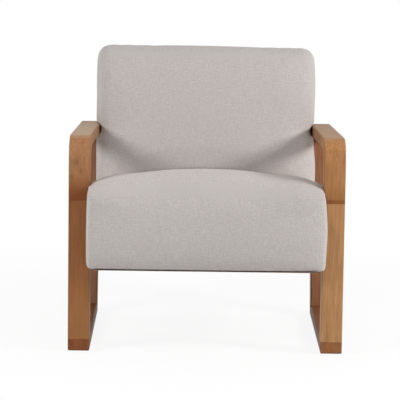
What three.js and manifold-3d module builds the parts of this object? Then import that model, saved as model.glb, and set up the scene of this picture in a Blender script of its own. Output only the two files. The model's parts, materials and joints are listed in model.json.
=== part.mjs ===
// Fireside chair: two closed timber side frames carry an upholstered seat and back.
// Millimetres, +Z up, the chair faces -Y. Until the last lines y = 0 is the front of the legs
// and z = 0 the underside of the runners; then the chair is set on the floor, centred.
import * as THREE from 'three';
import { mergeVertices } from 'three/addons/utils/BufferGeometryUtils.js';
import Module from 'manifold-3d';

const wasm = await Module();
wasm.setup();

// Timber side frames
const overallWidth = 700;
const frameWidth = 55;
const frontLegDepth = 55;
const rearLegDepth = 55;
const runnerThick = 30;
const armThick = 30;
const runnerLength = 530;
const armReach = 704;
const armFrontHeight = 548;
const armRearHeight = 512;
const armOuterRadius = 65;
const armInnerRadius = 35;
const seamHeight = 387;
const cornerBlockLength = 165;
const edgeRound = 3;
const jointGap = 0.3;

// Loose tenons in the timber joints, and the glides under the runners
const tenonWidth = 26;
const tenonThick = 10;
const tenonDeep = 28;
const tenonShallow = 17;
const tenonFit = 0.3;
const glideRadius = 11;
const glideChamfer = 1;
const glideStand = 2;
const glideSunk = 3;
const glideInset = 60;

// Coverings and the clearances between layers
const fabricThick = 2;
const softGap = 0.5;
const layerGap = 0.3;
const turnIn = 24;

// Seat, measured along its own sloping base
const seatOverhang = 40;
const seatBaseHeight = 216;
const seatSlope = THREE.MathUtils.degToRad(5);
const seatOverlap = 9;
const seatSideBulge = 2.5;
const seatThick = 220;
const seatRearThick = 181;
const seatCrown = 40;
const seatRearCrown = 36;
const seatFrontLead = 10;
const seatFrontRound = 108;
const seatFrontEndRound = 42;
const seatRearRound = 14;
const seatBottomRound = 10;
const seatEndRound = 13;
const seatEndDrop = 6;
const seatFrontBow = 5;
const seatTopBow = 8;
const dustCoverThick = 1.2;
const dustCoverInset = 12;

// Back, measured along the slope of the rear legs
const backTop = 736;
const backThick = 132;
const backOverlap = 8;
const backSideBulge = 1;
const backCrown = 10;
const backTopCrown = 3;
const backFrontRound = 48;
const backRearRound = 10;
const backFootRound = 30;
const backEndRound = 34;
const backEndInset = 22;
const backFrontBow = 6;
const cushionLap = 50;
const sleeveRound = 2.5;
const panelThick = 4;
const panelInset = 12;
const panelSetback = 3;
const panelCorner = 18;

// Frames and webbing inside the upholstery
const railThick = 25;
const railHeight = 70;
const railPad = 7;
const railFootPad = 2;
const backRearPad = 2;
const seatFrontPad = 22;
const backRailDepth = 30;
const backRailHeight = 45;
const backTopPad = 14;
const webWidth = 62;
const webThick = 1.8;
const seatWebCount = 4;
const backWebCount = 3;

// Bolts and the threaded inserts that they run into
const boltRadius = 3.8;
const boltHeadRadius = 8;
const boltHeadThick = 4;
const boltFit = 0.3;
const insertRadius = 6.5;
const insertLength = 18;
const boltShort = 3;
const seatBoltUp = 38;
const joinBoltSpread = 300;
const backBoltShares = [0.58, 0.83];

// How finely curves are cut, and how far a cutter runs past what it cuts
const bigArcSteps = 7;
const arcSteps = 3;
const endSteps = 3;
const seatSpanSteps = 8;
const backSpanSteps = 6;
const roundSides = 16;
const overrun = 50;

const crownPowerShare = 2;
const capRingShares = [0.5];

const timber = { color: 0xa9784e, roughness: 0.5, metalness: 0 };
const beech = { color: 0xcdb08a, roughness: 0.7, metalness: 0 };
const fabric = { color: 0xbfb6b1, roughness: 0.95, metalness: 0 };
const foam = { color: 0xe9dfb8, roughness: 1, metalness: 0 };
const lining = { color: 0x2b2a2a, roughness: 0.95, metalness: 0 };
const webbing = { color: 0x4a4440, roughness: 0.9, metalness: 0 };
const zinc = { color: 0xb9bcc0, roughness: 0.35, metalness: 1 };
const nylon = { color: 0x3a3836, roughness: 0.55, metalness: 0 };

const point = (x, y) => new THREE.Vector2(x, y);
const halfWidth = overallWidth / 2;
const innerX = halfWidth - frameWidth;
const lean = Math.atan2(armReach - runnerLength, armRearHeight);
const armSlope = Math.atan2(armFrontHeight - armRearHeight, armReach - armOuterRadius);
const armTopAt = (y) => armFrontHeight - (y - armOuterRadius) * Math.tan(armSlope);
const armUnderAt = (y) => armTopAt(y) - armThick / Math.cos(armSlope);
const sides = [['left', -1], ['right', 1]];

const chair = new THREE.Group();
const seatUnit = new THREE.Group();
seatUnit.position.set(0, -seatOverhang, seatBaseHeight);
seatUnit.rotation.x = -seatSlope;
const backUnit = new THREE.Group();
backUnit.position.set(0, runnerLength, 0);
backUnit.rotation.x = -lean;
chair.add(seatUnit, backUnit);
chair.updateMatrixWorld(true);
const chairToSeat = seatUnit.matrix.clone().invert();
const chairToBack = backUnit.matrix.clone().invert();
const seatToBack = chairToBack.clone().multiply(seatUnit.matrix);
const backToSeat = seatToBack.clone().invert();

// A side view is drawn with a shape's x along the chair and its y upwards
const sideView = new THREE.Matrix4().makeBasis(
  new THREE.Vector3(0, 1, 0), new THREE.Vector3(0, 0, 1), new THREE.Vector3(1, 0, 0));

function solid(geometry, matrix = new THREE.Matrix4()) {
  const bare = new THREE.BufferGeometry();
  bare.setAttribute('position', geometry.getAttribute('position').clone());
  if (geometry.index) bare.setIndex(geometry.index.clone());
  const merged = mergeVertices(bare.applyMatrix4(matrix));
  return new wasm.Manifold(new wasm.Mesh({
    numProp: 3,
    vertProperties: merged.getAttribute('position').array,
    triVerts: new Uint32Array(merged.index.array),
  }));
}

function add(group, name, body, look) {
  const { vertProperties, triVerts } = body.getMesh();
  const geometry = new THREE.BufferGeometry();
  geometry.setAttribute('position', new THREE.BufferAttribute(vertProperties, 3));
  geometry.setIndex(new THREE.BufferAttribute(triVerts, 1));
  const piece = new THREE.Mesh(geometry.toNonIndexed(), new THREE.MeshStandardMaterial(look));
  piece.geometry.computeVertexNormals();
  piece.name = name;
  group.add(piece);
}

const without = (body, cutters) => cutters.reduce((rest, cutter) => rest.subtract(cutter), body);

// Corners of a convex outline, counter-clockwise, after each edge moves inwards by its own distance
function insetCorners(corners, insets) {
  const edges = corners.map((start, i) => {
    const along = corners[(i + 1) % corners.length].clone().sub(start).normalize();
    const inward = point(-along.y, along.x);
    return { start: start.clone().addScaledVector(inward, insets[i]), along };
  });
  return edges.map((edge, i) => {
    const last = edges[(i + edges.length - 1) % edges.length];
    const run = edge.start.clone().sub(last.start).cross(edge.along) / last.along.cross(edge.along);
    return last.start.clone().addScaledVector(last.along, run);
  });
}

// The arc that rounds one corner of an outline, as a list of points; a sharp corner gives one point
function cornerArc(corners, i, radius, steps) {
  const corner = corners[i];
  if (radius <= 0) return [corner];
  const before = corners[(i + corners.length - 1) % corners.length].clone().sub(corner).normalize();
  const after = corners[(i + 1) % corners.length].clone().sub(corner).normalize();
  const half = Math.acos(before.dot(after)) / 2;
  const inwards = before.clone().add(after).normalize();
  const centre = corner.clone().addScaledVector(inwards, radius / Math.sin(half));
  const from = Math.atan2(-before.x, before.y) + Math.PI;
  const sweep = Math.PI - 2 * half;
  return Array.from({ length: steps + 1 }, (_, k) => {
    const angle = from + sweep * k / steps;
    return centre.clone().add(point(Math.cos(angle), Math.sin(angle)).multiplyScalar(radius));
  });
}

// Points round an outline, with steps along its edges where they bow outwards
function roundedOutline({ corners, radii, arcs, bows, edges }) {
  const rounds = corners.map((_, i) => cornerArc(corners, i, radii[i], arcs[i]));
  return rounds.flatMap((round, i) => {
    const start = round[round.length - 1];
    const end = rounds[(i + 1) % rounds.length][0];
    const along = end.clone().sub(start).normalize();
    const outward = point(along.y, -along.x);
    const edge = Array.from({ length: edges[i] - 1 }, (_, k) => {
      const share = (k + 1) / edges[i];
      const bow = bows[i] * 4 * share * (1 - share);
      return start.clone().lerp(end, share).addScaledVector(outward, bow);
    });
    return [...round, ...edge];
  });
}

function box(xs, ys, zs) {
  const geometry = new THREE.BoxGeometry(xs[1] - xs[0], ys[1] - ys[0], zs[1] - zs[0]);
  return geometry.translate((xs[0] + xs[1]) / 2, (ys[0] + ys[1]) / 2, (zs[0] + zs[1]) / 2);
}

// A side-view outline carried across the chair from one x to another
function prism(points, xs) {
  const geometry = new THREE.ExtrudeGeometry(new THREE.Shape(points),
    { depth: xs[1] - xs[0], bevelEnabled: false });
  return geometry.applyMatrix4(sideView).translate(xs[0], 0, 0);
}

// A turned piece or a hole: radii and heights along an axis through a place
function turned(profile, place, axis) {
  const geometry = new THREE.LatheGeometry(profile.map(([r, h]) => point(r, h)), roundSides);
  const turn = new THREE.Quaternion().setFromUnitVectors(new THREE.Vector3(0, 1, 0), axis);
  return geometry.applyQuaternion(turn).translate(place.x, place.y, place.z);
}

const rod = (radius, from, to) => [[0, from], [radius, from], [radius, to], [0, to]];

// Side frames

const loopCorners = [
  point(0, 0), point(runnerLength, 0), point(armReach, armRearHeight), point(0, armTopAt(0)),
];
const loopInsets = [runnerThick, rearLegDepth, armThick, frontLegDepth];
const frameX = (side) => side < 0 ? [-halfWidth, -innerX] : [innerX, halfWidth];

// The closed frame before it is cut into its members, or a cutter that keeps clear of it
function frameLoop(side, grow, round) {
  const outer = roundedOutline({
    corners: insetCorners(loopCorners, loopInsets.map(() => -grow)),
    radii: [edgeRound, edgeRound, edgeRound, armOuterRadius + grow],
    arcs: [1, 1, 1, bigArcSteps], bows: [0, 0, 0, 0], edges: [1, 1, 1, 1],
  });
  const inner = roundedOutline({
    corners: insetCorners(loopCorners, loopInsets.map((inset) => inset + grow)),
    radii: [0, 0, 0, armInnerRadius - grow],
    arcs: [1, 1, 1, bigArcSteps], bows: [0, 0, 0, 0], edges: [1, 1, 1, 1],
  });
  const shape = new THREE.Shape(outer);
  shape.holes = [new THREE.Path(inner)];
  const [from, to] = frameX(side);
  const geometry = new THREE.ExtrudeGeometry(shape, {
    depth: to - from + 2 * grow - 2 * round, bevelEnabled: round > 0,
    bevelThickness: round, bevelSize: round, bevelOffset: -round, bevelSegments: 2,
  });
  return geometry.applyMatrix4(sideView).translate(from - grow + round, 0, 0);
}

// Side-view regions that part the loop into its members, half the joint gap off every joint
function memberRegions() {
  const gap = jointGap / 2;
  const far = armReach + overrun;
  const near = -overrun;
  const high = armFrontHeight + overrun;
  const middle = runnerLength / 2;
  const topAtJoint = armTopAt(cornerBlockLength);
  const jointAt = (z) => cornerBlockLength + (z - topAtJoint) * Math.tan(armSlope);
  const under = armUnderAt(cornerBlockLength) + gap;
  return {
    runner: [point(near, near), point(far, near),
      point(far, runnerThick - gap), point(near, runnerThick - gap)],
    front_leg: [point(near, runnerThick + gap), point(middle, runnerThick + gap),
      point(middle, seamHeight - gap), point(near, seamHeight - gap)],
    arm_corner: [point(near, seamHeight + gap), point(jointAt(seamHeight) - gap, seamHeight + gap),
      point(jointAt(high) - gap, high), point(near, high)],
    armrest: [point(jointAt(under) + gap, under), point(far, armUnderAt(far) + gap),
      point(far, high), point(jointAt(high) + gap, high)],
    rear_leg: [point(middle, runnerThick + gap), point(far, runnerThick + gap),
      point(far, armUnderAt(far) - gap), point(middle, armUnderAt(middle) - gap)],
  };
}

// Each tenon sits in the middle of a joint and points along the member above or behind it
function tenonPlaces() {
  const [frontFoot, rearFoot, rearTop] = insetCorners(loopCorners,
    [runnerThick, rearLegDepth / 2, armThick, frontLegDepth / 2]);
  const upright = Math.PI / 2;
  const armMiddle = point(cornerBlockLength, armTopAt(cornerBlockLength) - armThick / 2);
  return {
    front_foot_tenon: { at: frontFoot, angle: upright, reach: [-tenonShallow, tenonDeep] },
    front_seam_tenon: { at: point(frontLegDepth / 2, seamHeight), angle: upright,
      reach: [-tenonDeep, tenonDeep] },
    arm_joint_tenon: { at: armMiddle, angle: -armSlope, reach: [-tenonDeep, tenonDeep] },
    rear_top_tenon: { at: rearTop, angle: upright - lean, reach: [-tenonDeep, tenonShallow] },
    rear_foot_tenon: { at: rearFoot, angle: upright - lean, reach: [-tenonShallow, tenonDeep] },
  };
}

function tenonShape(side, { at, angle, reach }, grow) {
  const radius = tenonThick / 2 + grow;
  const flat = (tenonWidth - tenonThick) / 2;
  const shape = new THREE.Shape();
  shape.absarc(flat, 0, radius, -Math.PI / 2, Math.PI / 2, false);
  shape.absarc(-flat, 0, radius, Math.PI / 2, 3 * Math.PI / 2, false);
  const length = reach[1] - reach[0] + 2 * grow;
  const geometry = new THREE.ExtrudeGeometry(shape,
    { depth: length, bevelEnabled: false, curveSegments: arcSteps * 2 });
  geometry.translate(0, 0, reach[0] - grow);
  const cos = Math.cos(angle);
  const sin = Math.sin(angle);
  const place = new THREE.Matrix4().makeBasis(
    new THREE.Vector3(1, 0, 0), new THREE.Vector3(0, sin, -cos), new THREE.Vector3(0, cos, sin));
  place.setPosition(side * (halfWidth - frameWidth / 2), at.x, at.y);
  return geometry.applyMatrix4(place);
}

function glidePlaces(side) {
  const x = side * (halfWidth - frameWidth / 2);
  return { front: new THREE.Vector3(x, glideInset, 0),
    rear: new THREE.Vector3(x, runnerLength - glideInset, 0) };
}

function makeSideFrame(name, side, boltHoles) {
  const loop = solid(frameLoop(side, 0, edgeRound));
  const wide = [-halfWidth - overrun, halfWidth + overrun];
  const up = new THREE.Vector3(0, 0, 1);
  const tenons = tenonPlaces();
  const mortises = Object.values(tenons).map((tenon) => solid(tenonShape(side, tenon, tenonFit)));
  const glides = glidePlaces(side);
  const recess = rod(glideRadius + tenonFit, -overrun, glideSunk + tenonFit);
  const recesses = Object.values(glides).map((place) => solid(turned(recess, place, up)));
  for (const [member, region] of Object.entries(memberRegions())) {
    const blank = loop.intersect(solid(prism(region, wide)));
    add(chair, `${member}_${name}`, without(blank, [...mortises, ...recesses, ...boltHoles]), timber);
  }
  for (const [tenon, place] of Object.entries(tenons)) {
    add(chair, `${tenon}_${name}`, solid(tenonShape(side, place, 0)), beech);
  }
  const glide = [[0, -glideStand], [glideRadius - glideChamfer, -glideStand],
    [glideRadius, glideChamfer - glideStand], [glideRadius, glideSunk], [0, glideSunk]];
  for (const [end, place] of Object.entries(glides)) {
    add(chair, `${end}_glide_${name}`, solid(turned(glide, place, up)), nylon);
  }
}

// Stuffed forms

// Rings of a form from its left end to its right: a side outline that grows out of a rounded end
// and is crowned towards the middle, with a pole point at each end
function stuffedRings(form, grow) {
  const half = form.half + grow;
  const round = form.endRound + grow;
  const outline = (x, inset) => {
    const crown = 1 - Math.min(1, Math.abs(x) / half) ** crownPowerShare;
    const corners = insetCorners(form.cornersAt(crown), form.ends.map((end) => end * inset - grow));
    const radii = form.radiiAt(crown).map((radius) => radius + grow);
    return roundedOutline({ ...form, corners, radii });
  };
  const ringAt = (x, inset) => outline(x, inset).map((p) => new THREE.Vector3(x, p.x, p.y));
  const flat = half - round;
  const middle = Array.from({ length: form.spans - 1 },
    (_, k) => ringAt(flat * (2 * (k + 1) / form.spans - 1), 0));
  const ends = [-1, 1].map((side) => Array.from({ length: endSteps + 1 }, (_, k) => {
    const angle = Math.PI / 2 * (1 - k / endSteps);
    return ringAt(side * (flat + round * Math.sin(angle)), 1 - Math.cos(angle));
  }));
  const poles = ends.map(([rim]) => rim.reduce((sum, p) => sum.add(p), new THREE.Vector3())
    .divideScalar(rim.length));
  const caps = ends.map(([rim], i) => capRingShares.map((share) => rim.map((p) => {
    const q = poles[i].clone().lerp(p, share);
    q.x += (2 * i - 1) * form.bulge * (1 - share * share);
    return q;
  })));
  poles.forEach((pole, i) => { pole.x += (2 * i - 1) * form.bulge; });
  const rings = [...caps[0].reverse(), ...ends[0], ...middle, ...ends[1].reverse(), ...caps[1]];
  return { rings, poles };
}

function stuffedForm(form, grow) {
  const { rings, poles } = stuffedRings(form, grow);
  const count = rings[0].length;
  const index = [];
  const last = rings.length - 1;
  for (let i = 0; i < count; i += 1) {
    const j = (i + 1) % count;
    for (let r = 0; r < last; r += 1) {
      const [a, b] = [r * count, (r + 1) * count];
      index.push(a + i, a + j, b + i, a + j, b + j, b + i);
    }
    const end = last * count;
    index.push(rings.length * count, j, i, rings.length * count + 1, end + i, end + j);
  }
  const geometry = new THREE.BufferGeometry().setFromPoints([...rings.flat(), ...poles]);
  return geometry.setIndex(index);
}

// The plane that parts seat and back, as the place of a line at a height in the seat's own frame
const backRear = -(panelSetback + panelThick + layerGap);
const backFrameRear = backRear - fabricThick - layerGap - backRearPad;
const backFrameFront = backFrameRear - backRailDepth;
const backWebFront = backFrameFront - layerGap - webThick;
const sleeveFront = backFrameFront - layerGap - fabricThick;
const partingLow = new THREE.Vector3(0, sleeveFront - softGap, 0).applyMatrix4(backToSeat);
const partingHigh = new THREE.Vector3(0, sleeveFront - softGap, backTop).applyMatrix4(backToSeat);
const partingSlope = (partingHigh.y - partingLow.y) / (partingHigh.z - partingLow.z);
const partingAt = (z) => partingLow.y + (z - partingLow.z) * partingSlope;
const inSeatRearLine = (setback) => (z) => partingAt(z) - setback * Math.hypot(1, partingSlope);

const seatForm = {
  half: innerX + seatOverlap, bulge: seatSideBulge, endRound: seatEndRound, spans: seatSpanSteps,
  ends: [seatBottomRound, seatBottomRound, seatEndDrop, seatEndDrop],
  arcs: [2, 2, 2, bigArcSteps], bows: [0, 0, seatTopBow, seatFrontBow], edges: [1, 1, 4, 2],
  radiiAt: (crown) => [seatBottomRound, seatBottomRound, seatRearRound,
    THREE.MathUtils.lerp(seatFrontEndRound, seatFrontRound, Math.sqrt(crown))],
  cornersAt: (crown) => {
    const rearTop = seatRearThick + seatRearCrown * crown;
    return [point(0, 0), point(partingAt(0), 0), point(partingAt(rearTop), rearTop),
      point(-seatFrontLead, seatThick + seatCrown * crown)];
  },
};

const inBack = (y, z) => new THREE.Vector3(0, y, z).applyMatrix4(seatToBack);
const backFoot = inBack(partingAt(0), 0).z;
const cushionFoot = inBack(partingAt(seatRearThick), seatRearThick).z - cushionLap;
const sleeveTop = cushionFoot + cushionLap + backFootRound;

const backForm = {
  half: innerX + backOverlap, bulge: backSideBulge, endRound: backEndRound, spans: backSpanSteps,
  ends: [backFootRound, backRearRound, backEndRound, backEndInset],
  arcs: [2, 1, 2, arcSteps + 1], bows: [0, 0, 0, backFrontBow], edges: [1, 1, 1, 4],
  radiiAt: () => [backFootRound, backRearRound, backRearRound, backFrontRound],
  cornersAt: (crown) => {
    const front = backRear - backThick - backCrown * crown;
    const top = backTop + backTopCrown * crown;
    return [point(front, cushionFoot), point(backRear, cushionFoot), point(backRear, top),
      point(front, top)];
  },
};

// The thin lower part of the back unit, behind the seat
const sleeveForm = {
  half: innerX - softGap, bulge: 0, endRound: sleeveRound, spans: 1,
  ends: [sleeveRound, sleeveRound, sleeveRound, sleeveRound],
  arcs: [2, 2, 2, 2], bows: [0, 0, 0, 0], edges: [1, 1, 1, 1],
  radiiAt: () => [sleeveRound, sleeveRound, sleeveRound, sleeveRound],
  cornersAt: () => [point(sleeveFront, backFoot), point(backRear, backFoot),
    point(backRear, sleeveTop), point(sleeveFront, sleeveTop)],
};

// What a soft layer keeps clear of: the side frames, grown by the layer's depth under the surface
const frameCutters = (matrix, grow) =>
  sides.map(([, side]) => solid(frameLoop(side, softGap + grow, 0), matrix));

const seatLayer = (depth) =>
  without(solid(stuffedForm(seatForm, -depth)), frameCutters(chairToSeat, depth));

const backCushionLayer = (depth) => without(solid(stuffedForm(backForm, -depth)),
  [...frameCutters(chairToBack, depth), solid(stuffedForm(seatForm, softGap + depth), seatToBack)]);

const backLayer = (depth) => without(
  solid(stuffedForm(backForm, -depth)).add(solid(stuffedForm(sleeveForm, -depth))),
  [...frameCutters(chairToBack, depth), solid(stuffedForm(seatForm, softGap + depth), seatToBack)]);

// Bolts: where each lies in its unit's frame, which way it points and how far it reaches

const railOuterX = innerX - softGap - fabricThick - layerGap - railPad;
const railInnerX = railOuterX - railThick;
const sideBoltReach = innerX + insertLength - boltShort - railInnerX;
const legSlopeLength = armRearHeight / Math.cos(lean);
const backFrameMiddle = (backFrameFront + backFrameRear) / 2;
const seatRailRear = inSeatRearLine(fabricThick + layerGap + railPad);
const seatFrameFoot = fabricThick + layerGap + railFootPad;
const seatFrameTop = seatFrameFoot + railHeight;

function sideBolts(side) {
  const axis = new THREE.Vector3(side, 0, 0);
  const x = side * railInnerX;
  const seatBolt = { group: seatUnit, name: 'seat_bolt', axis,
    place: new THREE.Vector3(x, seatOverhang + frontLegDepth / 2, seatBoltUp) };
  const backBolts = backBoltShares.map((share, i) => ({ group: backUnit, axis,
    name: ['back_bolt_lower', 'back_bolt_upper'][i],
    place: new THREE.Vector3(x, backFrameMiddle, share * legSlopeLength) }));
  return [seatBolt, ...backBolts].map((bolt) => ({ ...bolt, side, reach: sideBoltReach }));
}

// The bolts that tie the seat's rear rail to the bottom rail of the back
function joinBolts() {
  const middle = seatFrameFoot + railHeight / 2;
  const inner = inBack(seatRailRear(middle), middle);
  const start = inner.y - railThick;
  return sides.map(([name, side]) => ({
    group: backUnit, name: `seat_to_back_bolt_${name}`, axis: new THREE.Vector3(0, 1, 0),
    place: new THREE.Vector3(side * joinBoltSpread / 2, start, inner.z),
    reach: backFrameRear - boltShort - start,
  }));
}

const boltHole = (bolt, matrix) =>
  solid(turned(rod(boltRadius + boltFit, -overrun, bolt.reach + boltFit), bolt.place, bolt.axis), matrix);

const insertStart = innerX - railInnerX;

function insertHole(bolt) {
  const profile = rod(insertRadius + boltFit, insertStart - softGap, insertStart + insertLength + boltFit);
  return solid(turned(profile, bolt.place, bolt.axis), bolt.group.matrix);
}

function addBolt(bolt, name) {
  const top = -layerGap - boltHeadThick;
  const profile = [[0, top], [boltHeadRadius, top], [boltHeadRadius, -layerGap],
    [boltRadius, -layerGap], [boltRadius, bolt.reach], [0, bolt.reach]];
  add(bolt.group, name, solid(turned(profile, bolt.place, bolt.axis)), zinc);
}

function addInsert(bolt, name) {
  const bore = boltRadius + boltFit;
  const end = insertStart + insertLength;
  const profile = [[bore, insertStart], [insertRadius, insertStart], [insertRadius, end],
    [bore, end], [bore, insertStart]];
  add(bolt.group, name, solid(turned(profile, bolt.place, bolt.axis)), zinc);
}

const allSideBolts = sides.map(([, side]) => sideBolts(side));
const tieBolts = joinBolts();
const seatBoltHoles = [...allSideBolts.map(([bolt]) => boltHole(bolt)),
  ...tieBolts.map((bolt) => boltHole(bolt, backToSeat))];
const backBoltHoles = [...allSideBolts.flatMap(([, ...bolts]) => bolts), ...tieBolts]
  .map((bolt) => boltHole(bolt));

function makeFasteners() {
  sides.forEach(([name], i) => {
    for (const bolt of allSideBolts[i]) {
      addBolt(bolt, `${bolt.name}_${name}`);
      addInsert(bolt, `${bolt.name.replace('bolt', 'insert')}_${name}`);
    }
  });
  for (const bolt of tieBolts) addBolt(bolt, bolt.name);
}

// Evenly spaced middles of a number of strips between two limits
const spread = (count, from, to) =>
  Array.from({ length: count }, (_, k) => from + (to - from) * (k + 1 / 2) / count);

// Seat unit

function makeSeatFrame() {
  const levels = [seatFrameFoot, seatFrameTop];
  const rail = (name, points, xs) =>
    add(seatUnit, name, without(solid(prism(points, xs)), seatBoltHoles), beech);
  const strip = (front, rear) => [point(front(levels[0]), levels[0]), point(rear(levels[0]), levels[0]),
    point(rear(levels[1]), levels[1]), point(front(levels[1]), levels[1])];
  const front = () => seatFrontPad;
  const between = [-railInnerX + jointGap, railInnerX - jointGap];
  const rearInner = (z) => seatRailRear(z) - railThick * Math.hypot(1, partingSlope);
  rail('seat_side_rail_left', strip(front, seatRailRear), [-railOuterX, -railInnerX]);
  rail('seat_side_rail_right', strip(front, seatRailRear), [railInnerX, railOuterX]);
  rail('seat_front_rail', strip(front, () => seatFrontPad + railThick), between);
  rail('seat_rear_rail', strip(rearInner, seatRailRear), between);
  const webs = [seatFrameTop + layerGap, seatFrameTop + layerGap + webThick];
  spread(seatWebCount, -railInnerX, railInnerX).forEach((x, k) => {
    const strap = box([x - webWidth / 2, x + webWidth / 2], [seatFrontPad, seatRailRear(seatFrameTop)], webs);
    add(seatUnit, `seat_web_${k + 1}`, solid(strap), webbing);
  });
}

function makeSeatCovering() {
  const coverX = innerX - turnIn;
  const opening = box([-coverX, coverX], [turnIn, partingAt(0) - turnIn],
    [-overrun, fabricThick + layerGap / 2]);
  const cover = without(seatLayer(0), [seatLayer(fabricThick), solid(opening), ...seatBoltHoles]);
  add(seatUnit, 'seat_cover', cover, fabric);
  const clear = seatFrontPad - layerGap;
  const top = seatFrameTop + 2 * layerGap + webThick;
  const foamRear = inSeatRearLine(fabricThick + railPad);
  const hollow = prism([point(clear, -overrun), point(foamRear(-overrun), -overrun),
    point(foamRear(top), top), point(clear, top)], [-railOuterX - layerGap, railOuterX + layerGap]);
  const pad = without(seatLayer(fabricThick + layerGap), [solid(hollow), ...seatBoltHoles]);
  add(seatUnit, 'seat_foam', pad, foam);
  const dustX = innerX - dustCoverInset;
  const dust = box([-dustX, dustX], [dustCoverInset, partingAt(0) - dustCoverInset],
    [-layerGap - dustCoverThick, -layerGap]);
  add(seatUnit, 'seat_dust_cover', solid(dust), lining);
}

// Back unit

const backFrameFoot = backFoot + fabricThick + layerGap + railFootPad;
const backFrameTop = backTop - fabricThick - layerGap - backTopPad;

function makeBackFrame() {
  const deep = [backFrameFront, backFrameRear];
  const rail = (name, xs, zs) =>
    add(backUnit, name, without(solid(box(xs, deep, zs)), backBoltHoles), beech);
  const between = [-railInnerX + jointGap, railInnerX - jointGap];
  rail('back_stile_left', [-railOuterX, -railInnerX], [backFrameFoot, backFrameTop]);
  rail('back_stile_right', [railInnerX, railOuterX], [backFrameFoot, backFrameTop]);
  rail('back_bottom_rail', between, [backFrameFoot, backFrameFoot + railHeight]);
  rail('back_top_rail', between, [backFrameTop - backRailHeight, backFrameTop]);
  const lowest = cushionFoot + cushionLap + backFootRound;
  spread(backWebCount, lowest, backFrameTop - backRailHeight).forEach((z, k) => {
    const strap = box([-railOuterX, railOuterX], [backWebFront, backWebFront + webThick],
      [z - webWidth / 2, z + webWidth / 2]);
    add(backUnit, `back_web_${k + 1}`, solid(strap), webbing);
  });
}

function makeBackCovering() {
  const openX = innerX - turnIn;
  const opening = box([-openX, openX], [backRear - fabricThick - layerGap / 2, overrun],
    [backFoot + turnIn, backTop - turnIn]);
  const cover = without(backLayer(0), [backLayer(fabricThick), solid(opening), ...backBoltHoles]);
  add(backUnit, 'back_cover', cover, fabric);
  const hollow = box([-railOuterX - layerGap, railOuterX + layerGap], [backWebFront - layerGap, overrun],
    [-overrun, backFrameTop + layerGap]);
  const pad = without(backCushionLayer(fabricThick + layerGap), [solid(hollow), ...backBoltHoles]);
  add(backUnit, 'back_foam', pad, foam);
}

function makeBackPanel() {
  const x = innerX - panelInset;
  const corners = [point(-x, backFoot + panelInset), point(x, backFoot + panelInset),
    point(x, backTop - panelInset), point(-x, backTop - panelInset)];
  const outline = roundedOutline({ corners, radii: corners.map(() => panelCorner),
    arcs: [arcSteps, arcSteps, arcSteps, arcSteps], bows: [0, 0, 0, 0], edges: [1, 1, 1, 1] });
  const board = new THREE.ExtrudeGeometry(new THREE.Shape(outline),
    { depth: panelThick, bevelEnabled: false });
  board.rotateX(Math.PI / 2).translate(0, -panelSetback, 0);
  add(backUnit, 'back_panel', solid(board), fabric);
}

sides.forEach(([name, side], i) => {
  const holes = allSideBolts[i].flatMap((bolt) => [insertHole(bolt), boltHole(bolt, bolt.group.matrix)]);
  makeSideFrame(name, side, holes);
});
makeSeatFrame();
makeSeatCovering();
makeBackFrame();
makeBackCovering();
makeBackPanel();
makeFasteners();

const extent = new THREE.Box3().setFromObject(chair, true);
chair.position.set(0, -(extent.min.y + extent.max.y) / 2, glideStand);

export default chair;
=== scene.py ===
import json
import math
import bpy
import bmesh
from mathutils import Matrix, Vector


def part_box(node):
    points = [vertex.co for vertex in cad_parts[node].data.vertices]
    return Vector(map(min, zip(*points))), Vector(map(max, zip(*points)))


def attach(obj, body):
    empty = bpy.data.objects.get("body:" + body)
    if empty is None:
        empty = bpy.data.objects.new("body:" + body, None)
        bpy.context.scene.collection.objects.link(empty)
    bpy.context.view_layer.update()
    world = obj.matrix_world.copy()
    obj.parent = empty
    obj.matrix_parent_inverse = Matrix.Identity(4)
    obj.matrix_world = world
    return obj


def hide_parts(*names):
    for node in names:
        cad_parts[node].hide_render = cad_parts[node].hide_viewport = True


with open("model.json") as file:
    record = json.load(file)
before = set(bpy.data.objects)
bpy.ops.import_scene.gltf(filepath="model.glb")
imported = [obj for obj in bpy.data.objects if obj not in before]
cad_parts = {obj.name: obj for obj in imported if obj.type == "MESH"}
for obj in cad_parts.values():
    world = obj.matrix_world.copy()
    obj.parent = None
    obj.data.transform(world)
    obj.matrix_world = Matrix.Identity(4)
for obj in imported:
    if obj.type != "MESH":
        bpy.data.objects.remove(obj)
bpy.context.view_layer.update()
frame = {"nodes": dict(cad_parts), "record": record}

nodes = frame["nodes"]
scene = bpy.context.scene
print("frame loaded", len(nodes), "nodes")

# side frames: where the timber stands that the cloth meets
sideFrame = {"runner": 0.530, "leanRun": 0.174, "leanRise": 0.512, "armFall": 0.036, "armRun": 0.639,
             "armTop": 0.550, "armStart": 0.065, "armThick": 0.030, "legDeep": 0.055, "innerX": 0.295,
             "glide": 0.002, "clothGap": 0.0006}
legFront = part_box("front_leg_left")[0].y  # the part is centred on the floor
runnerEnd = legFront + sideFrame["runner"]
lean = math.atan2(sideFrame["leanRun"], sideFrame["leanRise"])
armSlope = math.atan2(sideFrame["armFall"], sideFrame["armRun"])


# shader maths: a wire is one output socket, and sums of wires make the nodes

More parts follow.
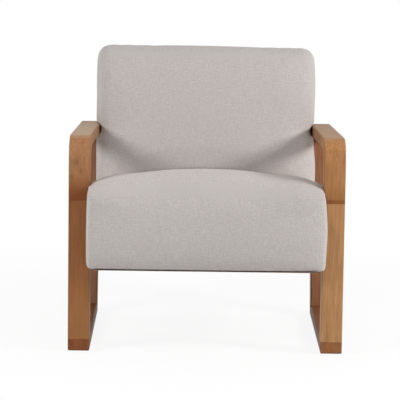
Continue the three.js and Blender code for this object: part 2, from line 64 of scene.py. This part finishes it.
class Wire:
    def __init__(self, shader, socket):
        self.shader = shader
        self.socket = socket

    def isVector(self):
        return self.socket.type in ("VECTOR", "RGBA")

    def maths(self, operation, *values):
        vectors = any(isinstance(v, tuple) or (isinstance(v, Wire) and v.isVector()) for v in values)
        kind = "ShaderNodeVectorMath" if vectors else "ShaderNodeMath"
        return self.shader.node(kind, {"operation": operation}, dict(enumerate(values)))

    def __add__(self, other):
        return self.maths("ADD", self, other)

    def __radd__(self, other):
        return self.maths("ADD", other, self)

    def __sub__(self, other):
        return self.maths("SUBTRACT", self, other)

    def __rsub__(self, other):
        return self.maths("SUBTRACT", other, self)

    def __mul__(self, other):
        return self.maths("MULTIPLY", self, other)

    def __rmul__(self, other):
        return self.maths("MULTIPLY", other, self)

    def atLeast(self, other):
        return self.maths("MAXIMUM", self, other)

    def size(self):
        return self.maths("ABSOLUTE", self)

    def sine(self):
        return self.maths("SINE", self)

    def wave(self):
        return self.sine() * 0.5 + 0.5

    def length(self):
        return self.shader.node("ShaderNodeVectorMath", {"operation": "LENGTH"}, {0: self}, "Value")

    def part(self, axis):
        return self.shader.node("ShaderNodeSeparateXYZ", {}, {0: self}, axis)

    def between(self, low, high, smooth=True):
        kind = "SMOOTHSTEP" if smooth else "LINEAR"
        return self.shader.node("ShaderNodeMapRange", {"interpolation_type": kind, "clamp": True},
                                {"Value": self, "From Min": low, "From Max": high})


class Shader:
    def __init__(self, owner, surface="Principled BSDF"):
        owner.use_nodes = True
        self.owner = owner
        self.tree = owner.node_tree
        self.surface = self.tree.nodes[surface]

    def node(self, kind, settings=None, inputs=None, output=0):
        made = self.tree.nodes.new(kind)
        for key, value in (settings or {}).items():
            setattr(made, key, value)
        for key, value in (inputs or {}).items():
            self.plug(made.inputs[key], value)
        return Wire(self, made.outputs[output])

    def plug(self, socket, value):
        if isinstance(value, Wire):
            self.tree.links.new(value.socket, socket)
        elif socket.type == "VECTOR" and not isinstance(value, tuple):
            socket.default_value = (value, value, value)
        elif socket.type == "RGBA":
            socket.default_value = (*value[:3], 1)
        else:
            socket.default_value = value

    def place(self):
        return self.node("ShaderNodeTexCoord", output="Object")

    def normal(self):
        return self.node("ShaderNodeNewGeometry", output="Normal")

    def ray(self, kind):
        return self.node("ShaderNodeLightPath", output=kind)

    def noise(self, at, scale=1.0, detail=2.0, rough=0.5):
        inputs = {"Vector": at, "Scale": scale, "Detail": detail, "Roughness": rough}
        return self.node("ShaderNodeTexNoise", {}, inputs)

    def mix(self, share, first, second):
        return self.node("ShaderNodeMix", {"data_type": "RGBA"}, {0: share, 6: first, 7: second}, 2)

    def bump(self, height, distance, strength):
        return self.node("ShaderNodeBump", {}, {"Height": height, "Distance": distance, "Strength": strength})

    def finish(self, **inputs):
        for key, value in inputs.items():
            self.plug(self.surface.inputs[key.replace("_", " ")], value)
        return self.owner

    def blend(self, share, white, output):
        lit = Wire(self, self.surface.outputs[0])
        shown = self.node("ShaderNodeMixShader", {}, {0: share, 1: lit, 2: white})
        self.tree.links.new(shown.socket, self.tree.nodes[output].inputs["Surface"])


def newMaterial(name):
    return Shader(bpy.data.materials.new(name))


def tint(colour, share):
    return tuple(c * share for c in colour)


def wear(made, look):
    made.data.materials.clear()
    made.data.materials.append(look)


# timber: stained and lacquered; each member is a board of its own, and its grain runs along it

boards = {"front_leg": {"left": (0.283, 0.113, 0.041), "right": (0.475, 0.248, 0.107)},
          "arm_corner": {"left": (0.370, 0.178, 0.080), "right": (0.415, 0.197, 0.076)},
          "armrest": {"left": (0.360, 0.170, 0.068), "right": (0.350, 0.158, 0.058)},
          "rear_leg": {"left": (0.300, 0.140, 0.075), "right": (0.330, 0.148, 0.074)},
          "runner": {"left": (0.180, 0.062, 0.020), "right": (0.240, 0.092, 0.036)}}
# painted glare: pale colours for the arms' tops, in place of the white studio's grazing reflection on the
# lacquer
paintedTopGlare = {"left": (0.425, 0.285, 0.172), "right": (0.355, 0.202, 0.100)}
sawnEnds = {"left": (0.221, 0.078, 0.029), "right": (0.294, 0.123, 0.048)}
# grain colours and shares, together with painted shade: sides darkens faces turned sideways
stainAndShade = {"pale": 1.32, "deep": 0.68, "vein": 0.45, "sides": 0.4, "red": (0.220, 0.071, 0.023),
         "gold": (0.385, 0.177, 0.066)}

# how far each member's grain leans from upright, where on the log it was cut, whether its sawn ends
# show, and whether its top carries painted glare: a pale colour in place of the white studio's grazing
# reflection
members = {"front_leg": {"turn": 0.0, "cut": 0.0, "ends": 1.0, "topGlare": False},
           "arm_corner": {"turn": 0.0, "cut": 0.41, "ends": 0.0, "topGlare": True},
           "armrest": {"turn": math.pi / 2 - armSlope, "cut": 0.83, "ends": 1.0, "topGlare": True},
           "rear_leg": {"turn": lean, "cut": 1.27, "ends": 1.0, "topGlare": False},
           "runner": {"turn": math.pi / 2, "cut": 1.71, "ends": 1.0, "topGlare": False}}
rightBoard = (0.37, 0.11, 0.3)  # how far the right side's boards lie from the left ones' on the log

# the red patch low on the left arm corner is partly the wood's own reddening and partly painted shadow of the
# seat's shoulder
marks = {"arm_corner_left": {"knots": [{"at": (-0.333, legFront, 0.487), "size": 0.018},
                                       {"at": (-0.319, legFront, 0.464), "size": 0.012},
                                       {"at": (-0.343, legFront, 0.450), "size": 0.014}],
                             "patches": [{"rise": (0.400, 0.475), "share": 1.0, "stainAndShade": "red"}]},
         "arm_corner_right": {"patches": [{"rise": (0.400, 0.450), "share": 0.35, "stainAndShade": "red"},
                                          {"rise": (0.3975, 0.4005), "share": 0.6, "stainAndShade": "red"}]},
         "front_leg_left": {"patches": [{"rise": (0.06, 0.30), "share": 0.6, "stainAndShade": "gold"}]}}

# stretches run across, through and along the grain; ranges cut a pattern to its light and dark
figure = {"wander": (3.0, 3.0, 0.8), "wanderScale": 4.0, "wanderReach": 0.06,
          "rings": 760.0, "ringSlant": 0.45, "ringShare": 0.10,
          "mottle": (16.0, 16.0, 2.6), "mottleScale": 5.0, "mottleDetail": 4.0, "mottleRough": 0.62,
          "mottleRange": (0.28, 0.75), "mottleShare": 0.34,
          "streaks": (170.0, 170.0, 7.0), "streakRange": (0.3, 0.7), "streakShare": 0.28,
          "fibres": (520.0, 520.0, 18.0), "fibreShare": 0.28, "fineDetail": 3.0, "fineRough": 0.6,
          "pores": (900.0, 900.0, 40.0), "poreDetail": 1.0, "poreRange": (0.62, 0.78), "poreShare": 0.35,
          "knot": (1.0, 0.4, 0.8), "knotBend": 0.35, "knotDark": 0.5,
          "glareRange": (0.93, 0.99), "glareShare": 0.85, "glareDeep": 0.8}
sawnFace = {"range": (0.75, 0.95), "flat": (1.0, 1.0, 0.0), "specks": 320.0, "speckShare": 0.25,
            "arcs": 1300.0, "arcStretch": (1.0, 1.6, 0.0), "heart": (0.03, 0.09, 0.0), "arcShare": 0.12,
            "bands": 70.0, "bandStretch": (1.0, 0.3, 0.0), "bandRange": (0.3, 0.7), "bandShare": 0.3,
            "pale": 1.4, "deep": 0.5}
lacquer = {"rough": 0.44, "roughVary": 0.12, "specular": 0.12, "coat": 0.02, "coatRough": 0.4,
           "fibreRelief": 0.5, "poreRelief": -0.9, "mottleRelief": 0.2, "relief": 0.00012, "strength": 0.6}


def turned(s, vector, turn):
    return s.node("ShaderNodeVectorRotate", {"rotation_type": "X_AXIS"}, {"Vector": vector, "Angle": turn})


def sawnColour(s, grain, sawn):
    speck = s.noise(grain * sawnFace["flat"], sawnFace["specks"])
    bands = s.noise(grain * sawnFace["bandStretch"], sawnFace["bands"]).between(*sawnFace["bandRange"])
    fromHeart = (grain * sawnFace["arcStretch"] + sawnFace["heart"]).length()
    arcs = (fromHeart * sawnFace["arcs"]).wave()
    depth = speck * sawnFace["speckShare"] + arcs * sawnFace["arcShare"] + bands * sawnFace["bandShare"]
    return s.mix(depth, tint(sawn, sawnFace["pale"]), tint(sawn, sawnFace["deep"]))


def timberMaterial(member, side, shift):
    s = newMaterial(f"{member}_{side}_timber")
    pale, deep, vein = (tint(boards[member][side], stainAndShade[k]) for k in ("pale", "deep", "vein"))
    mark = marks.get(f"{member}_{side}", {})
    turn = members[member]["turn"]
    world = s.place()
    grain = turned(s, world, turn) + shift
    wander = s.noise(grain * figure["wander"], figure["wanderScale"])
    dark = 0.0
    for knot in mark.get("knots", []):
        toKnot = (world - knot["at"]) * figure["knot"]
        near = 1.0 - toKnot.length().between(0.0, knot["size"])
        wander = wander + near * figure["knotBend"]  # the grain bends round a knot
        dark = near * near + dark
    across = grain.part("X") + grain.part("Y") * figure["ringSlant"] + wander * figure["wanderReach"]
    rings = (across * figure["rings"]).wave()
    mottle = s.noise(grain * figure["mottle"], figure["mottleScale"], figure["mottleDetail"],
                     figure["mottleRough"])
    fine = {"detail": figure["fineDetail"], "rough": figure["fineRough"]}
    streak = s.noise(grain * figure["streaks"], **fine).between(*figure["streakRange"])
    fibre = s.noise(grain * figure["fibres"], **fine)
    pores = s.noise(grain * figure["pores"], detail=figure["poreDetail"]).between(*figure["poreRange"])
    depth = (rings * figure["ringShare"] + mottle.between(*figure["mottleRange"]) * figure["mottleShare"]
             + streak * figure["streakShare"] + fibre * figure["fibreShare"])
    colour = s.mix(depth, pale, deep)
    colour = s.mix(pores * figure["poreShare"], colour, vein)
    if "knots" in mark:
        colour = s.mix(dark * figure["knotDark"], colour, vein)
    for patch in mark.get("patches", []):
        low = 1.0 - world.part("Z").between(*patch["rise"])
        colour = s.mix(low * patch["share"], colour, stainAndShade[patch["stainAndShade"]])
    # painted shade: faces turned sideways are mixed towards the dark vein colour, for the shade on the inner
    # sides of legs and runners
    colour = s.mix(s.normal().part("X").size() * stainAndShade["sides"], colour, vein)
    # painted glare: faces that look straight up are mixed towards the pale top colour, in place of a
    # reflection
    if members[member]["topGlare"]:
        upward = s.normal().part("Z").between(*figure["glareRange"])
        top = paintedTopGlare[side]
        paintedGlare = s.mix(depth, top, tint(top, figure["glareDeep"]))
        colour = s.mix(upward * figure["glareShare"], colour, paintedGlare)
    cut = turned(s, s.normal(), turn).part("Z").size().between(*sawnFace["range"])
    colour = s.mix(cut * members[member]["ends"], colour, sawnColour(s, grain, sawnEnds[side]))
    relief = (fibre * lacquer["fibreRelief"] + pores * lacquer["poreRelief"]
              + mottle * lacquer["mottleRelief"])
    return s.finish(Base_Color=colour, Roughness=fibre * lacquer["roughVary"] + lacquer["rough"],
                    Specular_IOR_Level=lacquer["specular"], Coat_Weight=lacquer["coat"],
                    Coat_Roughness=lacquer["coatRough"],
                    Normal=s.bump(relief, lacquer["relief"], lacquer["strength"]))


for member in members:
    cutAt = members[member]["cut"]
    leftShift = (cutAt, cutAt, 0.0)
    rightShift = tuple(a + b for a, b in zip(leftShift, rightBoard))
    wear(nodes[f"{member}_left"], timberMaterial(member, "left", leftShift))
    wear(nodes[f"{member}_right"], timberMaterial(member, "right", rightShift))
print("timber ready")


# upholstery cloth: a plain weave of mixed pale and grey threads

weave = {"light": (0.612, 0.570, 0.553), "dark": (0.472, 0.434, 0.415),
         "thread": 1450.0, "overRange": (-0.5, 0.5), "wobble": 60.0, "wobbleReach": 0.0016,
         "weft": (45.0, 400.0, 1.0), "warp": (400.0, 45.0, 1.0), "slubRough": 0.55,
         "slubRange": (0.32, 0.68), "slubShare": 0.55,
         "fleck": (240.0, 240.0, 1.0), "fleckRange": (0.34, 0.66), "fleckShare": 0.45,
         "cloud": 9.0, "cloudDetail": 3.0, "cloudRange": (0.3, 0.7), "cloudShare": 0.10,
         "turnRange": (0.55, 0.8), "overRelief": 0.35, "relief": 0.0007, "strength": 0.48,
         "rough": 0.95, "specular": 0.25, "sheen": 0.06, "sheenRough": 0.5}


def clothMaterial(name):
    s = newMaterial(name)
    at = s.place()
    facing = s.normal()
    sideways = facing.part("X").size().between(*weave["turnRange"])
    flat = facing.part("Z").size().between(*weave["turnRange"])
    wobble = s.noise(at, weave["wobble"]) * weave["wobbleReach"]
    u = at.part("X") * (1.0 - sideways) + at.part("Y") * sideways + wobble
    v = at.part("Z") * (1.0 - flat) + at.part("Y") * flat + wobble
    uv = s.node("ShaderNodeCombineXYZ", {}, {"X": u, "Y": v})
    weft = s.noise(uv * weave["weft"], rough=weave["slubRough"])
    warp = s.noise(uv * weave["warp"], rough=weave["slubRough"])
    over = ((u * weave["thread"]).sine() * (v * weave["thread"]).sine()).between(*weave["overRange"])
    fleck = s.noise(uv * weave["fleck"]).between(*weave["fleckRange"])
    threads = weft * over + warp * (1.0 - over)
    blend = threads.between(*weave["slubRange"]) * weave["slubShare"] + fleck * weave["fleckShare"]
    cloud = s.noise(at, weave["cloud"], weave["cloudDetail"]).between(*weave["cloudRange"])
    colour = s.mix(blend, weave["light"], weave["dark"])
    colour = s.mix(cloud * weave["cloudShare"], colour, weave["dark"])
    raised = s.bump(threads + over * weave["overRelief"], weave["relief"], weave["strength"])
    return s.finish(Base_Color=colour, Roughness=weave["rough"], Specular_IOR_Level=weave["specular"],
                    Sheen_Weight=weave["sheen"], Sheen_Roughness=weave["sheenRough"], Normal=raised)


upholstery = clothMaterial("upholstery_cloth")


# cushions: pieces of the frame become one smooth closed skin that stuffing has filled out

stuffing = {"pressure": 4.0, "tension": 15.0, "bending": 2.0, "mass": 0.4, "quality": 4, "frames": 20,
            "share": 0.3, "smoothing": 0.5, "skinRounds": 2, "faceRounds": 14, "lastRounds": 1}


def joinedCopy(name, names):
    mesh = bmesh.new()
    for part in names:
        mesh.from_mesh(nodes[part].data)
    data = bpy.data.meshes.new(name)
    mesh.to_mesh(data)
    mesh.free()
    made = bpy.data.objects.new(name, data)
    scene.collection.objects.link(made)
    return made


def bake(made):
    graph = bpy.context.evaluated_depsgraph_get()
    graph.update()
    data = bpy.data.meshes.new_from_object(made.evaluated_get(graph), depsgraph=graph)
    made.modifiers.clear()
    old = made.data
    made.data = data
    bpy.data.meshes.remove(old)


def remesh(made, size):
    skin = made.modifiers.new("skin", "REMESH")
    skin.mode = "VOXEL"
    skin.voxel_size = size
    bake(made)


def ramp(value, low, high):
    return min(1.0, max(0.0, (value - low) / (high - low)))


def addGroup(made, name, shareAt):
    group = made.vertex_groups.new(name=name)
    for v in made.data.vertices:
        share = shareAt(v.co)
        if share > 0:
            group.add([v.index], share, "REPLACE")
    return group.name


def soften(made, rounds, shareAt=None):
    smooth = made.modifiers.new("smooth", "SMOOTH")
    smooth.factor = stuffing["smoothing"]
    smooth.iterations = rounds
    if shareAt:
        smooth.vertex_group = addGroup(made, "smoothed", shareAt)
    bake(made)
    made.vertex_groups.clear()


def reshape(made, into, move):
    outOf = into.inverted()
    for v in made.data.vertices:
        v.co = outOf @ move(into @ v.co)


# one frame's timber in side view: both legs up to the arm's top, and the arm
def insideTimber(y, z):
    rear = runnerEnd + (z - sideFrame["glide"]) * math.tan(lean)
    top = sideFrame["armTop"] - (y - legFront - sideFrame["armStart"]) * math.tan(armSlope)
    inLeg = legFront <= y <= legFront + sideFrame["legDeep"] and z < top
    inRear = rear - sideFrame["legDeep"] / math.cos(lean) <= y <= rear and z < top
    inArm = top - sideFrame["armThick"] <= z <= top and legFront <= y <= rear
    return inLeg or inRear or inArm


def clearOfTimber(made):
    widest = sideFrame["innerX"] - sideFrame["clothGap"]
    for v in made.data.vertices:
        x, y, z = v.co
        if abs(x) > widest and insideTimber(y, z):
            v.co.x = math.copysign(widest, x)


def shrink(made, by, shareAt):
    normals = [v.normal.copy() for v in made.data.vertices]
    for v, n in zip(made.data.vertices, normals):
        v.co -= n * by * shareAt(v.co)


# the stuffing presses the cloth out; only a share of that movement is kept, and never past the reach
def puff(made, pins, reach):
    rest = [v.co.copy() for v in made.data.vertices]
    cloth = made.modifiers.new("cloth", "CLOTH")
    cloth.settings.quality = stuffing["quality"]
    cloth.settings.mass = stuffing["mass"]
    cloth.settings.tension_stiffness = stuffing["tension"]
    cloth.settings.compression_stiffness = stuffing["tension"]
    cloth.settings.shear_stiffness = stuffing["tension"] / 2
    cloth.settings.bending_stiffness = stuffing["bending"]
    cloth.settings.use_pressure = True
    cloth.settings.uniform_pressure_force = stuffing["pressure"]
    cloth.settings.effector_weights.gravity = 0
    cloth.settings.vertex_group_mass = addGroup(made, "pinned", pins)
    cloth.collision_settings.use_collision = False
    cloth.collision_settings.use_self_collision = False
    for number in range(1, stuffing["frames"] + 1):
        scene.frame_set(number)
    bake(made)
    scene.frame_set(1)
    for v, before in zip(made.data.vertices, rest):
        moved = (v.co - before) * stuffing["share"]
        if moved.length > reach:
            moved *= reach / moved.length
        v.co = before + moved
    made.vertex_groups.clear()


def smoothShade(made):
    for face in made.data.polygons:
        face.use_smooth = True


def subdivide(made):
    finer = made.modifiers.new("finer", "SUBSURF")
    finer.levels = 1
    finer.render_levels = 1
    bake(made)


def makeCushion(piece, into, flatten, shape, face, pins):
    made = joinedCopy(piece["name"], piece["cad"] + [piece["lid"]])
    remesh(made, piece["voxel"])
    reshape(made, into, flatten)
    soften(made, stuffing["skinRounds"])
    soften(made, stuffing["faceRounds"], face)
    reshape(made, into, shape)
    shrink(made, piece["start"], face)
    puff(made, pins, piece["reach"])
    soften(made, stuffing["lastRounds"])
    clearOfTimber(made)
    subdivide(made)
    clearOfTimber(made)
    smoothShade(made)
    wear(made, upholstery)
    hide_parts(*piece["cad"])
    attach(made, "root")
    print(piece["name"], "ready", len(made.data.vertices))


# seat: one smooth crowned block; pairs of numbers say where a change starts and where it is full
seat = {"name": "seat_upholstery", "cad": ["seat_cover", "seat_foam"], "lid": "seat_dust_cover",
        "voxel": 0.006, "start": 0.003, "reach": 0.005, "fill": 0.9,
        "slope": 5, "ahead": 0.040, "foot": 0.218, "half": 0.304, "flat": 0.0004,
        "pinFoot": (0.004, 0.024), "pinRear": (0.50, 0.56),
        "faceFoot": (0.02, 0.06), "faceSide": (0.17, 0.27), "faceRear": (0.44, 0.50),
        "frontDepth": (0.02, 0.14), "leftRoll": 0.006, "rightRoll": 0.020, "rollPower": 5,
        "footRoll": 0.045, "footBack": 0.012, "footPower": 2, "footKeep": 0.6,
        "upper": (0.08, 0.19), "edgeRise": (0.00, 0.08), "edgeFall": (0.13, 0.22),
        "crestLift": 0.003, "crestFade": (0.35, 0.60), "endLift": 0.005, "endGrow": (0.45, 0.75),
        "top": 0.249, "crown": 0.033, "endRound": 0.042, "middleRound": 0.108,
        "edgePush": 0.007, "pushGrow": (0.40, 0.80), "pushRange": (0.0, 0.42),
        "deckRise": (0.12, 0.24), "deckDrop": 0.005,
        "rightBulge": 0.003, "bulgeSide": (0.20, 0.29), "bulgeRise": (0.02, 0.10), "bulgeFall": (0.12, 0.20)}

seatFoot = Vector((0, legFront - seat["ahead"], seat["foot"]))
seatTurn = Matrix.Rotation(-math.radians(seat["slope"]), 4, "X")
intoSeat = (Matrix.Translation(seatFoot) @ seatTurn).inverted()


def seatPins(co):
    at = intoSeat @ co
    return max(1.0 - ramp(at.z, *seat["pinFoot"]), ramp(at.y, *seat["pinRear"]))


def seatFace(co):
    at = intoSeat @ co
    inset = 1.0 - ramp(abs(at.x), *seat["faceSide"])
    return ramp(at.z, *seat["faceFoot"]) * inset * (1.0 - ramp(at.y, *seat["faceRear"]))


def flattenSeat(at):
    at.z = max(at.z, seat["flat"])
    return at


# the rounding of the front's top edge is drawn out to a firmer edge towards both ends
def edgePush(at, out):
    top = seat["top"] - seat["crown"] * out * out
    radius = seat["endRound"] + (seat["middleRound"] - seat["endRound"]) * math.sqrt(1.0 - out * out)
    onEdge = ramp(1.0 - (at.y + top - at.z) / radius, *seat["pushRange"])
    return seat["edgePush"] * ramp(out, *seat["pushGrow"]) * onEdge


# the cloth is drawn back a little at both ends of the front and under its lower edge; the front's
# top edge stands up most at the ends, and the deck behind it falls away
def shapeSeat(at):
    out = min(1.0, abs(at.x) / seat["half"])
    front = 1.0 - ramp(at.y, *seat["frontDepth"])
    foot = (1.0 - ramp(at.z, 0.0, seat["footRoll"])) ** seat["footPower"]
    upper = ramp(at.z, *seat["upper"])
    edge = ramp(at.y, *seat["edgeRise"]) * (1.0 - ramp(at.y, *seat["edgeFall"]))
    deck = ramp(at.y, *seat["deckRise"]) * (1.0 - ramp(at.y, *seat["faceRear"]))
    roll = out ** seat["rollPower"] * seat["rightRoll" if at.x > 0 else "leftRoll"]
    lift = seat["crestLift"] * (1.0 - ramp(out, *seat["crestFade"]))
    lift += seat["endLift"] * ramp(out, *seat["endGrow"])
    push = edgePush(at, out)
    at.y += front * (roll * (1.0 - seat["footKeep"] * foot) + foot * seat["footBack"]) - push
    at.z += upper * (edge * lift - deck * seat["deckDrop"]) + push
    middle = ramp(at.z, *seat["bulgeRise"]) * (1.0 - ramp(at.z, *seat["bulgeFall"]))
    at.x += front * middle * ramp(at.x, *seat["bulgeSide"]) * seat["rightBulge"]
    return at


makeCushion(seat, intoSeat, flattenSeat, shapeSeat, seatFace, seatPins)


# back: the same cloth over a leaning block; its foot sits down behind the seat
back = {"name": "back_upholstery", "cad": ["back_cover", "back_foam"], "lid": "back_panel",
        "voxel": 0.006, "start": 0.002, "reach": 0.006, "fill": 0.9, "rear": -0.0073,
        "pinRear": (0.004, 0.024), "pinFoot": (0.315, 0.345),
        "faceDepth": (0.04, 0.08), "faceSide": (0.17, 0.27), "faceTop": (0.62, 0.70),
        "shellDepth": (0.01, 0.05), "side": (0.20, 0.30),
        "leftUp": 0.0035, "leftSpan": (-0.05, 0.29), "upRise": (0.60, 0.74),
        "leftOut": 0.004, "outRise": (0.60, 0.72),
        "rightTuck": 0.005, "tuckRise": (0.40, 0.46), "tuckFall": (0.52, 0.64)}

backFoot = Vector((0, runnerEnd, sideFrame["glide"]))
intoBack = (Matrix.Translation(backFoot) @ Matrix.Rotation(-lean, 4, "X")).inverted()


def backPins(co):
    at = intoBack @ co
    return max(1.0 - ramp(back["rear"] - at.y, *back["pinRear"]), 1.0 - ramp(at.z, *back["pinFoot"]))


def backFace(co):
    at = intoBack @ co
    inset = 1.0 - ramp(abs(at.x), *back["faceSide"])
    return ramp(back["rear"] - at.y, *back["faceDepth"]) * inset * (1.0 - ramp(at.z, *back["faceTop"]))


def flattenBack(at):
    at.y = min(at.y, back["rear"])
    return at


# the right side is tucked in where it meets the arm; the left one stands a little proud and higher
def shapeBack(at):
    shell = ramp(back["rear"] - at.y, *back["shellDepth"])
    nearArm = ramp(at.z, *back["tuckRise"]) * (1.0 - ramp(at.z, *back["tuckFall"]))
    at.z += shell * ramp(at.z, *back["upRise"]) * ramp(-at.x, *back["leftSpan"]) * back["leftUp"]
    at.x -= shell * ramp(-at.x, *back["side"]) * ramp(at.z, *back["outRise"]) * back["leftOut"]
    at.x -= shell * ramp(at.x, *back["side"]) * nearArm * back["rightTuck"]
    return at


makeCushion(back, intoBack, flattenBack, shapeBack, backFace, backPins)


# rear panel: a board wrapped in the same cloth
panel = {"name": "rear_panel_cloth", "cad": "back_panel", "edge": 0.0018, "segments": 3}


def makePanel():
    made = joinedCopy(panel["name"], [panel["cad"]])
    edge = made.modifiers.new("edge", "BEVEL")
    edge.width = panel["edge"]
    edge.segments = panel["segments"]
    edge.limit_method = "ANGLE"
    bake(made)
    smoothShade(made)
    wear(made, upholstery)
    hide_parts(panel["cad"])
    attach(made, "root")


makePanel()


# plain finishes, by material slot: the pieces under and inside the chair
finishes = {"lining": {"name": "dust_cover_felt", "colour": (0.36, 0.26, 0.20), "rough": 0.85,
                       "grit": 0.4, "shine": 0.05},
            "glide": {"name": "glide_nylon", "colour": (0.035, 0.032, 0.030), "rough": 0.45},
            "fittings": {"name": "zinc_plate", "colour": (0.62, 0.63, 0.66), "rough": 0.25, "metal": 1.0},
            "webbing": {"name": "elastic_webbing", "colour": (0.06, 0.052, 0.045), "rough": 0.85,
                        "grit": 0.4},
            "inner_timber": {"name": "planed_beech", "colour": (0.56, 0.40, 0.24), "rough": 0.6}}
spots = {"gritty": 900.0, "smooth": 60.0, "deep": 0.8, "roughVary": 0.15, "relief": 0.0002, "strength": 0.3}


def plainMaterial(name, colour, rough, metal=0.0, grit=0.0, shine=0.5):
    s = newMaterial(name)
    spot = s.noise(s.place(), spots["gritty"] if grit else spots["smooth"])
    shade = s.mix(spot, colour, tint(colour, spots["deep"]))
    raised = s.bump(spot, spots["relief"], spots["strength"] + grit)
    return s.finish(Base_Color=shade, Roughness=spot * spots["roughVary"] + rough, Metallic=metal,
                    Specular_IOR_Level=shine, Normal=raised)


plainLooks = {slot: plainMaterial(**finish) for slot, finish in finishes.items()}
for row in frame["record"]["subparts"]:
    if row["material_slot"] in plainLooks:
        wear(nodes[row["node"]], plainLooks[row["material_slot"]])


# lining: thin felt under the seat, held back to the line of the cloth's lower edge
lining = {"name": "underside_lining", "cad": "seat_dust_cover", "inset": 0.015}


def holdBack(at):
    at.y = max(at.y, lining["inset"])
    return at


def makeLining():
    made = joinedCopy(lining["name"], [lining["cad"]])
    reshape(made, intoSeat, holdBack)
    wear(made, plainLooks["lining"])
    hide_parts(lining["cad"])
    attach(made, "root")


makeLining()
print("materials ready")


# studio floor: it keeps the soft shadow near the chair and turns plain white further off
floor = {"half": 30.0, "colour": (0.9, 0.9, 0.9), "rough": 0.9, "specular": 0.1, "plainNear": 0.9,
         "plainRange": (0.5, 1.6)}
white = (1.0, 1.0, 1.0)


def makeFloor():
    half = floor["half"]
    data = bpy.data.meshes.new("floor")
    corners = [(-half, -half, 0), (half, -half, 0), (half, half, 0), (-half, half, 0)]
    data.from_pydata(corners, [], [(0, 1, 2, 3)])
    made = bpy.data.objects.new("floor", data)
    scene.collection.objects.link(made)
    s = newMaterial("pale_floor")
    look = s.finish(Base_Color=floor["colour"], Roughness=floor["rough"],
                    Specular_IOR_Level=floor["specular"])
    far = s.place().length().between(*floor["plainRange"])
    seen = s.ray("Is Camera Ray") + s.ray("Is Glossy Ray")
    plain = (far * (1.0 - floor["plainNear"]) + floor["plainNear"]) * seen
    s.blend(plain, s.node("ShaderNodeEmission", {}, {"Color": white, "Strength": 1.0}), "Material Output")
    wear(made, look)


# lamps: three softboxes at one distance, all turned to the middle of the chair
lamps = {"left_softbox": {"azimuth": -54, "elevation": 28, "size": 0.9, "power": 45},
         "right_softbox": {"azimuth": 66, "elevation": 25, "size": 0.66, "power": 61},
         "high_softbox": {"azimuth": 0, "elevation": 65, "size": 1.6, "power": 9}}
lampDistance = 3.0
lampAim = Vector((0, 0, 0.4))


def softLight(name, azimuth, elevation, size, power):
    lamp = bpy.data.lights.new(name, "AREA")
    lamp.size = size
    lamp.energy = power
    made = bpy.data.objects.new(name, lamp)
    around, up = math.radians(azimuth), math.radians(elevation)
    away = Vector((math.sin(around) * math.cos(up), -math.cos(around) * math.cos(up), math.sin(up)))
    made.location = lampAim + away * lampDistance
    made.rotation_euler = (-away).to_track_quat("-Z", "Y").to_euler()
    scene.collection.objects.link(made)


makeFloor()
for name, lamp in lamps.items():
    softLight(name, **lamp)


# backdrop: the camera sees white all round, gloss sees white behind the chair and the dim studio in
# front of it; the white behind lights the chair too, a little dimmer than it looks
backdrop = {"ambient": 0.01, "ambientColour": (1.0, 0.88, 0.78), "glow": 0.8, "behind": (-0.1, 0.3)}


def makeBackdrop():
    scene.world = bpy.data.worlds.new("studio")
    s = Shader(scene.world, "Background")
    s.finish(Color=backdrop["ambientColour"], Strength=backdrop["ambient"])
    direction = s.node("ShaderNodeTexCoord", output="Generated")
    behind = direction.part("Y").between(*backdrop["behind"], smooth=False)
    bright = (behind * backdrop["glow"]).atLeast(s.ray("Is Glossy Ray") * behind)
    seen = s.ray("Is Camera Ray").atLeast(bright)
    s.blend(seen, s.node("ShaderNodeBackground", {}, {"Color": white, "Strength": 1.0}), "World Output")


makeBackdrop()


# camera: level with the head of someone standing a few metres off, a touch left of the middle
eye = {"side": -0.04965, "distance": 5.750, "height": 1.23577, "yaw": 0.0056, "pitch": 0.1452,
       "roll": 0.0139, "lens": 206.85, "sensor": 36, "far": 100}


def makeCamera():
    lens = bpy.data.cameras.new("camera")
    lens.lens = eye["lens"]
    lens.sensor_width = eye["sensor"]
    lens.clip_end = eye["far"]
    made = bpy.data.objects.new("camera", lens)
    scene.collection.objects.link(made)
    place = Vector((eye["side"], legFront - eye["distance"], eye["height"]))
    turn = (Matrix.Rotation(-eye["yaw"], 4, "Z") @ Matrix.Rotation(math.pi / 2 - eye["pitch"], 4, "X")
            @ Matrix.Rotation(eye["roll"], 4, "Z"))
    made.matrix_world = Matrix.Translation(place) @ turn
    scene.camera = made


makeCamera()
scene.view_settings.view_transform = "Standard"
print("studio ready")
